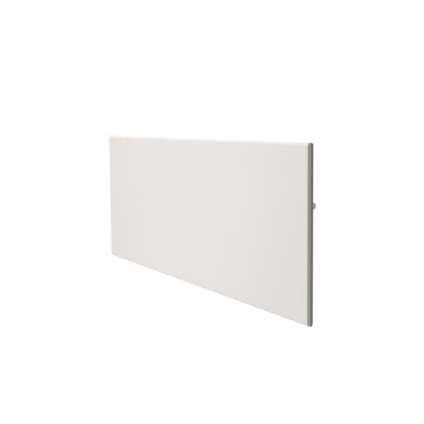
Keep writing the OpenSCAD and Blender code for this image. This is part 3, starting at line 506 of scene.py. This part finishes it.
def plus(work, reach, width, bottom, top, taper=1.0):
    """Adds a plus-shaped prism along Z, smaller at its bottom by taper."""
    corner = [(width, width), (width, reach), (-width, reach)]
    quarter_turns = ((1, 0), (0, 1), (-1, 0), (0, -1))
    outline = [(c * x - s * y, s * x + c * y) for c, s in quarter_turns for x, y in corner]
    low, high = ([work.verts.new((k * x, k * y, h)) for x, y in outline]
                 for h, k in ((bottom, taper), (top, 1)))
    work.faces.new(low[::-1])
    work.faces.new(high)
    join_rings(work, low, high)


def bar(size, edge):
    """A box of the given size about the origin, with its edges rounded by edge."""
    work = bmesh.new()
    bmesh.ops.create_cube(work, size=1.0)
    for v in work.verts:
        v.co = Vector([c * s for c, s in zip(v.co, size)])
    bmesh.ops.bevel(work, geom=list(work.edges), offset=edge, segments=2, affect="EDGES")
    return work


def block(work, low, high, edge):
    """Adds a box between two corners, with its edges rounded by edge, all in millimetres.

    It is made on its own first, so that each run lists its faces in the same order.
    """
    single = bmesh.new()
    bmesh.ops.create_cube(single, size=1.0)
    for v in single.verts:
        v.co = Vector([(a + b) / 2 + c * (b - a) for a, b, c in zip(low, high, v.co)]) * MM
    bmesh.ops.bevel(single, geom=list(single.edges), offset=edge * MM, segments=2, affect="EDGES")
    place(single, UP_STAYS, work)


def box_in_mm(node):
    """Lowest and highest corners of a node at rest, in millimetres."""
    return [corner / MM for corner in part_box(node)]


# Sheet metal, mouldings and leads


def softened(node, width):
    """Stands for a CAD node: the same shape with its sharp edges rounded by width."""
    turn = math.radians(ROUNDED_FROM)
    work = flattened(node)
    sharp = [e for e in work.edges if len(e.link_faces) == 2 and e.calc_face_angle(0) > turn]
    bmesh.ops.bevel(work, geom=sharp, offset=width, segments=2, profile=0.6, affect="EDGES",
                    clamp_overlap=True)
    stand_in(node, work).modifiers.new("even_shading", "WEIGHTED_NORMAL").keep_sharp = True


def middle_line(node):
    """Middle points of the rings of a swept solid, from one end face to the other."""
    end_face_corners, nearness = 8, 3e-6
    flat = flattened(node)
    ends = [f for f in flat.faces if len(f.verts) >= end_face_corners]
    end = min(ends, key=lambda f: max((v.co - f.calc_center_median()).length for v in f.verts))
    start = [v.co.copy() for v in end.verts]
    flat.free()
    work = welded(node)
    work.verts.index_update()
    ring = {v for v in work.verts if any((v.co - co).length < nearness for co in start)}
    seen, points = set(), []
    while ring:
        # In the order of their numbers, so that each run adds them up alike
        in_order = sorted(ring, key=lambda v: v.index)
        points.append(sum((v.co for v in in_order), Vector()) / len(in_order))
        seen |= ring
        ring = {e.other_vert(v) for v in ring for e in v.link_edges} - seen
    work.free()
    return points


def smooth_curve(points, steps):
    """A smooth curve close to the given points, with steps points from each one to the next."""
    inner = [(a + 2 * b + c) / 4 for a, b, c in zip(points, points[1:], points[2:])]
    points = [points[0]] + inner + [points[-1]]
    curve = []
    for a, b, c, d in zip([points[0]] + points, points, points[1:], points[2:] + [points[-1]]):
        for k in range(steps):
            t = k / steps
            curve.append(0.5 * (2 * b + (c - a) * t + (2 * a - 5 * b + 4 * c - d) * t ** 2
                                + (3 * b - a - 3 * c + d) * t ** 3))
    return curve + [points[-1]]


def lead(node):
    """Stands for a lead: a round wire on a smooth curve through the solid's own course."""
    radius, sides = 1.17 * MM, 16
    turns = [2 * math.pi * j / sides for j in range(sides)]
    curve = smooth_curve(middle_line(node), steps=3)
    work = bmesh.new()
    side, rings = None, []
    for k, at in enumerate(curve):
        ahead = (curve[min(k + 1, len(curve) - 1)] - curve[max(k - 1, 0)]).normalized()
        side = (side - side.dot(ahead) * ahead if side else ahead.orthogonal()).normalized()
        up = ahead.cross(side)
        rings.append([work.verts.new(at + radius * (math.cos(a) * side + math.sin(a) * up))
                      for a in turns])
    for low, high in zip(rings, rings[1:]):
        join_rings(work, low, high)
    work.faces.new(rings[0][::-1])
    work.faces.new(rings[-1])
    stand_in(node, work, sharp_from=60)


# Screws, rivets and the gland


def screw_mesh(head_r, head_h, shank_r, shank_l):
    """Pan head on z = 0 with a cross recess, and a threaded shank below it."""
    edge = 0.55 * head_h
    pitch, crest, depth = 1.1 * MM, 0.15 * MM, 0.28 * MM
    neck, tip, tip_chamfer = 0.2 * MM, 0.5 * MM, 0.6 * MM
    thread = []
    for k in range(int(shank_l / pitch)):
        top = -neck - k * pitch
        thread += [(shank_r, top), (shank_r, top - crest), (shank_r - depth, top - 0.55 * pitch)]
    thread = [p for p in thread if p[1] > tip - shank_l]
    profile = [(0, -shank_l), (shank_r - tip_chamfer, -shank_l)] + thread[::-1]
    profile += [(shank_r, 0), (head_r, 0), (head_r, head_h - edge)]
    profile += arc((head_r - edge, head_h - edge), edge, start=15, end=75, steps=4)
    profile += [(0.3 * head_r, head_h), (0, head_h)]
    work, recess = bmesh.new(), bmesh.new()
    revolve(work, profile, turns=32)
    plus(recess, reach=0.62 * head_r, width=0.17 * head_r, bottom=0.25 * head_h, top=1.8 * head_h,
         taper=0.6)
    return cut(work, recess)


def screws(node):
    """Stands for a group of pan-head screws that face the wall, each turned its own way."""
    head_h, shank_r, turn_between = 2 * MM, 1.75 * MM, 37
    work = bmesh.new()
    kinds = {}
    for k, (low, high) in enumerate(islands(node)):
        length = high.y - low.y
        kind = round(length, 5)
        if kind not in kinds:
            kinds[kind] = screw_mesh((high.x - low.x) / 2, head_h, shank_r, length - head_h)
        centre = (low + high) / 2
        spin = Matrix.Rotation(math.radians((turn_between * k) % 90), 4, "Z")
        single = kinds[kind].copy()
        single.transform(Matrix.Translation((centre.x, high.y - head_h, centre.z)) @ UP_TO_Y @ spin)
        work.from_mesh(single)
        bpy.data.meshes.remove(single)
    stand_in(node, work)


def rivets():
    """Stands for the bracket's pop rivets: a low dome with the broken-off pin sunk in it."""
    head_h, shank_r = 1.2 * MM, 2 * MM
    work = bmesh.new()
    for low, high in islands("bracket_rivets"):
        head_r, length = (high.x - low.x) / 2, high.y - low.y
        centre = (low + high) / 2
        shank = [(0, 0), (shank_r - 0.2 * MM, 0), (shank_r, 0.2 * MM), (shank_r, length - head_h)]
        dome = [(head_r, length - head_h), (head_r, length - 0.8 * head_h),
                (head_r - 0.5 * MM, length - 0.45 * head_h),
                (head_r - 1.2 * MM, length - 0.12 * head_h), (1.3 * MM, length)]
        pin = [(1.1 * MM, length - 0.15 * MM), (1.0 * MM, length - 0.7 * MM),
               (0.6 * MM, length - 0.55 * MM), (0, length - 0.6 * MM)]
        single = bmesh.new()
        revolve(single, shank + dome + pin, turns=32)
        place(single, Matrix.Translation((centre.x, high.y, centre.z)) @ UP_TO_MINUS_Y, work)
    stand_in("bracket_rivets", work)


def gland_grip():
    """Grip ribs round the dome of the gland's nut."""
    low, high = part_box("gland_nut")
    centre = (low + high) / 2
    ribs, sunk, foot, crest = 24, -0.3, 0.5, 0.22
    # Up the dome in millimetres: distance from the axis, height, and how far the rib stands out
    course = ((6.9, 0.35, 0.12), (9.4, 3.0, 0.35), (9.65, 4.9, 0.35))
    work = bmesh.new()
    for k in range(ribs):
        spin = Matrix.Rotation(2 * math.pi * k / ribs, 4, "Z")
        rows = []
        for r, h, rise in course:
            corners = ((sunk, -foot), (rise, -crest), (rise, crest), (sunk, foot))
            rows.append([work.verts.new(spin @ Vector(((r + out) * MM, side * MM, h * MM)))
                         for out, side in corners])
        for one, two in zip(rows, rows[1:]):
            for j in range(4):
                work.faces.new((one[j], two[j], two[(j + 1) % 4], one[(j + 1) % 4]))
        work.faces.new(rows[0])
        work.faces.new(rows[-1][::-1])
    mesh = to_mesh(work, "gland_grip")
    mesh.transform(Matrix.Translation((centre.x, centre.y, low.z)))
    piece("gland_grip", mesh, "heater", "base_plastic")


# Knob and rocker


def knob():
    """Stands for the knob: fluted, with a rolled outer edge, a dished face and a pointer line."""
    low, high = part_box("control_knob")
    centre = (low + high) / 2
    length, r = high.x - low.x, (high.z - low.z) / 2
    edge, chamfer, side_steps = 1.1 * MM, 0.3 * MM, 8
    recess_r, recess_end = r * 0.80, 4.5 * MM
    bore, bore_end = 3.02 * MM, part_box("knob_shaft")[1].x - low.x + 0.05 * MM
    back = [(0, bore_end), (bore, bore_end), (bore, recess_end), (recess_r, recess_end),
            (recess_r, 0), (r - chamfer, 0), (r, chamfer), (r, 1.6 * MM)]
    side = [(r, 1.9 * MM + (length - 4.4 * MM) * k / side_steps) for k in range(side_steps + 1)]
    rolled = arc((r - edge, length - edge), edge, start=0, end=90, steps=6)
    face = [(r - 1.9 * MM, length), (r - 2.3 * MM, length - 0.25 * MM), (0, length - 0.4 * MM)]
    flutes, flute_depth = 18, 0.045
    fluted_rows = range(len(back) + 2, len(back) + len(side))  # the side without its foot

    def flute(angle, row):
        if row not in fluted_rows:
            return 1.0
        return 1.0 - flute_depth * max(0.0, math.cos(flutes * angle)) ** 2

    work = bmesh.new()
    revolve(work, back + side + rolled + face, turns=144, factor=flute)
    at = Matrix.Translation((low.x, centre.y, centre.z))
    bmesh.ops.transform(work, matrix=at @ UP_TO_X, verts=work.verts)
    stand_in("control_knob", work, sharp_from=40)

    mesh = to_mesh(bar((0.5 * MM, 0.8 * MM, r - 3.4 * MM), edge=0.15 * MM), "knob_pointer")
    mesh.transform(Matrix.Translation((high.x - 0.42 * MM, centre.y, centre.z + r / 2 - 0.4 * MM)))
    piece("knob_pointer", mesh, "control_knob", "black_plastic")


def rocker_marks():
    """The bar and the ring that show on and off, raised a little from the rocker's two faces."""
    raised, from_middle = 0.12 * MM, 4.3 * MM
    ring_r, tube_r = 1.5 * MM, 0.3 * MM
    ring = bmesh.new()
    revolve(ring, arc((ring_r, 0), tube_r, start=0, end=360, steps=12), turns=32)
    bmesh.ops.remove_doubles(ring, verts=ring.verts, dist=1e-7)
    for v in ring.verts:
        v.co = Vector((v.co.z * raised / tube_r, v.co.x, v.co.y))
    marks = (("mark_on", 1, bar((2 * raised, 0.6 * MM, 3.2 * MM), edge=0.04 * MM)),
             ("mark_off", -1, ring))

    low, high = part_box("rocker")
    middle = (low + high) / 2
    rocker = bmesh.new()
    rocker.from_mesh(frame["nodes"]["rocker"].data)
    surface = BVHTree.FromBMesh(rocker)
    rocker.free()
    for name, up, work in marks:
        start = Vector((high.x + 5 * MM, middle.y, middle.z + up * from_middle))
        spot, outward = surface.ray_cast(start, Vector((-1, 0, 0)))[:2]
        turn = Vector((1, 0, 0)).rotation_difference(outward).to_matrix().to_4x4()
        mesh = to_mesh(work, name)
        mesh.transform(Matrix.Translation(spot) @ turn)
        piece(name, mesh, "rocker", "base_plastic", "mark_white")


# Transformer, capacitors and the circuit board's small parts, all in millimetres


def transformer():
    """Stands for the transformer: a stack of core plates with two legs, and the taped winding."""
    low, high = box_in_mm("mains_transformer")
    plates, yoke_plates, pitch, gap, leg = 40, 20, 0.6, 0.05, 5
    core = bmesh.new()
    for k in range(plates):
        y = low.y + pitch * k
        whole, legs = [(low.x, high.x)], [(low.x, low.x + leg), (high.x - leg, high.x)]
        for a, b in whole if k < yoke_plates else legs:
            block(core, (a, y, low.z), (b, y + pitch - gap, high.z), edge=0.06)
    stand_in("mains_transformer", core, "shield_tin")

    winding = bmesh.new()
    clear, inset, foot = 0.3, 2.2, low.y + pitch * yoke_plates
    for top, waist in ((foot + 4, 0), (foot + 8, 0.15), (high.y - 0.5, 0)):
        block(winding, (low.x + leg + clear, foot, low.z + inset + waist),
              (high.x - leg - clear, top, high.z - inset - waist), edge=0.9)
    piece("transformer_winding", to_mesh(winding, "transformer_winding"), "heater",
          "transformer_core")


def capacitors():
    """Stands for the capacitors: crimped sleeves, with scored aluminium tops."""
    sleeve, tops, scores = bmesh.new(), bmesh.new(), bmesh.new()
    for low, high in islands("smoothing_capacitors"):
        at = ((low.x + high.x) / 2 / MM, low.y / MM, (low.z + high.z) / 2 / MM)
        r, h = (high.x - low.x) / 2 / MM, (high.y - low.y) / MM
        crimp = [(0, 0), (r - 0.5, 0), (r, 0.5), (r, 2.0), (r - 0.5, 2.5), (r - 0.5, 2.9), (r, 3.4)]
        rim = arc((r - 0.9, h - 0.9), 0.9, start=15, end=90, steps=5)
        inside_rim = [(r - 1.3, h - 0.3), (0, h - 0.3)]
        lathe(sleeve, at, crimp + [(r, h - 0.9)] + rim + inside_rim, turns=32)
        lid = [(0, h - 0.6), (r - 1.2, h - 0.6), (r - 1.2, h - 0.2), (r - 1.5, h - 0.05),
               (0, h - 0.05)]
        lathe(tops, at, lid, turns=32)
        score = bmesh.new()
        plus(score, reach=3.4 * MM, width=0.15 * MM, bottom=(h - 0.17) * MM, top=(h + 0.5) * MM)
        place(score, Matrix.Translation(Vector(at) * MM) @ UP_TO_Y, scores)
    stand_in("smoothing_capacitors", sleeve)
    piece("capacitor_tops", cut(tops, scores), "heater", "black_plastic", "shield_tin")


def terminal_screws():
    """Slotted screws at the bottom of the terminal block's three holes."""
    low, high = box_in_mm("terminal_block")
    x, middle = (low.x + high.x) / 2, (low.z + high.z) / 2
    pitch, screw = 6, [(0, 6.05), (1.6, 6.05), (1.6, 9.3), (1.4, 9.5), (0, 9.5)]
    slot_bottom, slot_top, slot_reach, slot_half = 8.6, 11, 2.5, 0.25
    work, slots = bmesh.new(), bmesh.new()
    for k in (-1, 0, 1):
        z = middle + pitch * k
        lathe(work, (x, low.y, z), screw)
        block(slots, (x - slot_reach, low.y + slot_bottom, z - slot_half),
              (x + slot_reach, low.y + slot_top, z + slot_half), edge=0.02)
    piece("terminal_screws", cut(work, slots), "heater", "screw_steel")


def wireless():
    """Stands for the wireless module: its own board, a shield can and the track of its aerial."""
    low, high = box_in_mm("wireless_module")
    thick, margin, can_end = 1, 2, 20
    top = low.y + thick
    work = bmesh.new()
    block(work, low, (high.x, top, high.z), edge=0.1)
    stand_in("wireless_module", work, "circuit_board")

    can = bmesh.new()
    block(can, (low.x + margin, top - 0.1, low.z + margin),
          (high.x - margin, high.y, low.z + can_end), edge=0.35)
    piece("shield_can", to_mesh(can, "shield_can"), "heater", "shield_tin")

    aerial = bmesh.new()
    runs, pitch, width = 6, 2.6, 0.7
    start, lower, upper = low.x + 2.5, high.z - 6.2, high.z - 1.2
    for k in range(runs):
        x = start + pitch * k
        block(aerial, (x, top - 0.05, lower), (x + width, top + 0.09, upper), edge=0.02)
        bend = upper if k % 2 == 0 else lower + width
        if k < runs - 1:
            block(aerial, (x, top - 0.04, bend - width), (x + pitch + width, top + 0.1, bend),
                  edge=0.02)
    piece("aerial_track", to_mesh(aerial, "aerial_track"), "heater", "shield_tin", "brass")


def packages(corner, bodies, pins):
    """Adds four integrated circuits, each with a row of bent pins below and above."""
    pitch, half, clear, tall, flat = 1.27, 0.2, 0.15, 1.65, 0.18
    x0, y, z0 = corner
    # Left and lower edge, width and height
    for x, z, width, height in ((36, 78, 10, 4), (14, 78, 5, 4), (55, 79, 7, 7), (6, 30, 4, 5)):
        left, foot, head = x0 + x, z0 + z, z0 + z + height
        block(bodies, (left, y + clear, foot), (left + width, y + tall, head), edge=0.12)
        count = int(width / pitch)
        for k in range(count):
            at = left + (width - pitch * (count - 1)) / 2 + pitch * k
            # Each pin is a flat foot on the board and an upright by the body
            for a, b in ((foot - 1.0, foot + 0.2), (head - 0.2, head + 1.0)):
                block(pins, (at - half, y, a), (at + half, y + flat, b), edge=0.04)
            for a, b in ((foot - 0.3, foot - 0.1), (head + 0.1, head + 0.3)):
                block(pins, (at - half, y + 0.1, a), (at + half, y + 0.85, b), edge=0.04)


def chips(corner, bodies, caps):
    """Adds rows of small resistors and capacitors, each with a metal cap at either end."""
    wide, cap, cap_wide = 1.25, 0.35, 1.26
    x0, y, z0 = corner
    # First chip, step to the next, and how many
    rows = (((5, 90), (4.6, 0), 3), ((30, 86), (4.6, 0), 7), ((5, 8), (0, 4.2), 4),
            ((39.5, 20), (0, 4.2), 6), ((66, 44), (0, 5), 3))
    for (x, z), (step_x, step_z), count in rows:
        for k in range(count):
            left, foot = x0 + (x + step_x * k), z0 + (z + step_z * k)
            block(bodies, (left + 0.3, y, foot), (left + 1.7, y + 0.5, foot + wide), edge=0.05)
            for a in (0, 1.65):
                block(caps, (left + a, y, foot - 0.01),
                      (left + a + cap, y + 0.52, foot + cap_wide), edge=0.05)


def fuse(corner, tube, metal):
    """Adds a fuse along Z: its ceramic tube, a metal cap at either end, and two spring clips."""
    x, y, z = corner[0] + 8, corner[1], corner[2] + 96
    axis_y, edge = y + 3.2, 0.2
    # Where each starts along the fuse, its length and its radius
    lengths = ((metal, 0, 5, 2.6), (tube, 4.8, 10.4, 2.35), (metal, 15, 5, 2.6))
    for work, start, length, r in lengths:
        profile = [(0, 0), (r - edge, 0), (r, edge), (r, length - edge), (r - edge, length),
                   (0, length)]
        lathe(work, (x, axis_y, z + start), profile, aim=UP_STAYS)
    clip_length, clip_height, thick = 2.6, 4.2, 0.4
    for start in (1.2, 16.2):
        for side in (-2.9, 2.5):
            block(metal, (x + side, y, z + start),
                  (x + side + thick, y + clip_height, z + start + clip_length), edge=0.05)


def board_parts():
    """Small parts on the circuit board, which the solids leave out."""
    low, high = box_in_mm("control_board")
    corner = (low.x, high.y, low.z)  # lower left on the side that carries the parts
    black, white, metal = bmesh.new(), bmesh.new(), bmesh.new()
    packages(corner, black, metal)
    chips(corner, black, metal)
    fuse(corner, white, metal)
    for name, work, slot in (("board_chips", black, "black_plastic"),
                             ("board_fuse", white, "ceramic"),
                             ("board_metal", metal, "shield_tin")):
        piece(name, to_mesh(work, name), "heater", slot)


def dress():
    """Gives every CAD node its finish, and the visible ones a piece of their own."""
    for name, node in frame["nodes"].items():
        node.data.materials.clear()
        node.data.materials.append(FINISHES[SLOT_OF[name]])
    for node, width in EDGE_WIDTHS.items():
        softened(node, width)
    for node in LEADS:
        lead(node)
    for node in ROUND_ALL_OVER:
        stand_in(node, flattened(node), sharp_from=60)
    for node in SCREW_GROUPS:
        screws(node)
    rivets()
    gland_grip()
    knob()
    rocker_marks()
    transformer()
    capacitors()
    terminal_screws()
    wireless()
    board_parts()


# Stage, light and camera


def white_to(tree):
    """1 for rays from the camera and in reflections and glass, 0 for light on surfaces."""
    path = tree.nodes.new("ShaderNodeLightPath")
    total = path.outputs["Is Camera Ray"]
    for kind in ("Is Glossy Ray", "Is Transmission Ray"):
        either = tree.nodes.new("ShaderNodeMath")
        either.operation = "MAXIMUM"
        tree.links.new(total, either.inputs[0])
        tree.links.new(path.outputs[kind], either.inputs[1])
        total = either.outputs[0]
    return total


def seen_white(name, rgb):
    """Stage finish: plain rgb to the light, and white to the camera and to reflections."""
    made = bpy.data.materials.new(name)
    made.use_nodes = True
    tree = made.node_tree
    tree.nodes.clear()
    out = tree.nodes.new("ShaderNodeOutputMaterial")
    mix = tree.nodes.new("ShaderNodeMixShader")
    plain = tree.nodes.new("ShaderNodeBsdfDiffuse")
    plain.inputs["Color"].default_value = (*linear(rgb), 1)
    white = tree.nodes.new("ShaderNodeEmission")
    tree.links.new(white_to(tree), mix.inputs[0])
    tree.links.new(plain.outputs[0], mix.inputs[1])
    tree.links.new(white.outputs[0], mix.inputs[2])
    tree.links.new(mix.outputs[0], out.inputs[0])
    return made


def stage():
    """Pale floor well below the heater, white surroundings."""
    work = bmesh.new()
    bmesh.ops.create_grid(work, x_segments=1, y_segments=1, size=FLOOR_REACH)
    bmesh.ops.translate(work, verts=work.verts, vec=(0, 0, FLOOR_Z))
    mesh = to_mesh(work, "floor")
    mesh.materials.append(seen_white("floor", FLOOR_RGB))
    floor = bpy.data.objects.new("floor", mesh)
    bpy.context.scene.collection.objects.link(floor)
    world = bpy.data.worlds.new("surroundings")
    world.use_nodes = True
    tree = world.node_tree
    back = tree.nodes["Background"]
    back.inputs["Color"].default_value = (1, 1, 1, 1)
    strength = tree.nodes.new("ShaderNodeMapRange")
    strength.inputs["To Min"].default_value = WORLD_LIGHT
    strength.inputs["To Max"].default_value = 1.0
    tree.links.new(white_to(tree), strength.inputs["Value"])
    tree.links.new(strength.outputs[0], back.inputs["Strength"])
    bpy.context.scene.world = world


def softbox(name, at, aim, size, watts):
    """A square lamp at one point that points to another."""
    data = bpy.data.lights.new(name, "AREA")
    data.shape, data.size, data.energy = "SQUARE", size, watts
    lamp = bpy.data.objects.new(name, data)
    bpy.context.scene.collection.objects.link(lamp)
    lamp.location = at
    lamp.rotation_euler = (Vector(aim) - Vector(at)).to_track_quat("-Z", "Y").to_euler()


def camera():
    """The photograph's camera."""
    data = bpy.data.cameras.new("camera")
    data.lens, data.sensor_width = CAMERA_LENS, CAMERA_FILM
    data.clip_start, data.clip_end = CAMERA_RANGE
    eye = bpy.data.objects.new("camera", data)
    bpy.context.scene.collection.objects.link(eye)
    c, s = math.cos(CAMERA_PITCH), math.sin(CAMERA_PITCH)
    ahead = Vector((math.sin(CAMERA_YAW) * c, math.cos(CAMERA_YAW) * c, -s))
    right = Vector((math.cos(CAMERA_YAW), -math.sin(CAMERA_YAW), 0))
    up = right.cross(ahead)
    cr, sr = math.cos(CAMERA_ROLL), math.sin(CAMERA_ROLL)
    right, up = cr * right + sr * up, cr * up - sr * right
    turn = Matrix((right, up, -ahead)).transposed().to_4x4()
    eye.matrix_world = Matrix.Translation(CAMERA_AT) @ turn
    bpy.context.scene.camera = eye


camera()
dress()
stage()
for lamp_name, settings in SOFTBOXES.items():
    softbox(lamp_name, *settings)
bpy.context.scene.view_settings.view_transform = "Standard"
